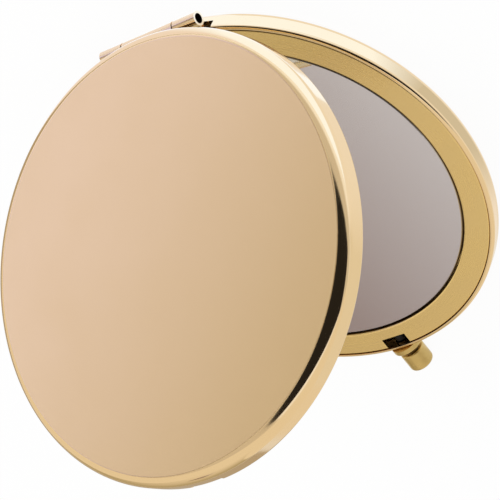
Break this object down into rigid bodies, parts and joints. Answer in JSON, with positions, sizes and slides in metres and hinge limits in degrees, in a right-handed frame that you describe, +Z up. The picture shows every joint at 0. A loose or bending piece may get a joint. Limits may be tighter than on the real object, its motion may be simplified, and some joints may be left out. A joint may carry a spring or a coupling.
{
  "type": "compact mirror",
  "caption": "Round folding pocket mirror in polished champagne-gold metal, with a hinged lid, framed mirrors inside and a push-button latch at the front.",
  "frame": {"origin": "centre of the base's flat outer face, which rests on the table", "axes": "+Z up out of the base, hinge at +Y with its pin along X, push button at -Y"},
  "size_m": [0.07, 0.0783, 0.061],
  "materials": {
    "gold_case": "polished champagne-gold plating",
    "gold_frame": "polished gold plating",
    "gold_hardware": "polished gold plating",
    "steel": "bright drawn wire and turned steel",
    "mirror": "silvered glass",
    "foam": "soft foam, matt",
    "adhesive": "matt film"
  },
  "bodies": {
    "base": {"base_shell": "gold_case", "base_frame_adhesive": "adhesive", "base_mirror_frame": "gold_frame", "base_mirror_pad": "foam", "base_mirror_glass": "mirror", "base_hinge_leaf": "gold_hardware", "base_hinge_rivets": "gold_hardware", "hinge_pin": "steel", "button_bushing": "gold_hardware", "button_spring": "steel"},
    "lid": {"lid_shell": "gold_case", "lid_frame_adhesive": "adhesive", "lid_mirror_frame": "gold_frame", "lid_mirror_pad": "foam", "lid_mirror_glass": "mirror", "lid_hinge_leaf": "gold_hardware", "lid_hinge_rivets": "gold_hardware", "lid_catch_hook": "gold_hardware", "lid_catch_rivets": "gold_hardware"},
    "button": {"button_head": "gold_hardware", "button_stem": "steel", "latch_plate": "steel"}
  },
  "joints": [
    {"name": "lid_hinge", "type": "hinge", "parent": "base", "child": "lid", "pos_m": [0, 0.0356, 0.0044], "axis": [-1, 0, 0], "range_deg": [-50.5, 129.5]},
    {"name": "button_press", "type": "slide", "parent": "base", "child": "button", "axis": [0, 1, 0], "range_m": [0, 0.0007], "stiffness_N_per_m": 1200, "springref_m": -0.0008, "deforming": ["button_spring"]}
  ]
}
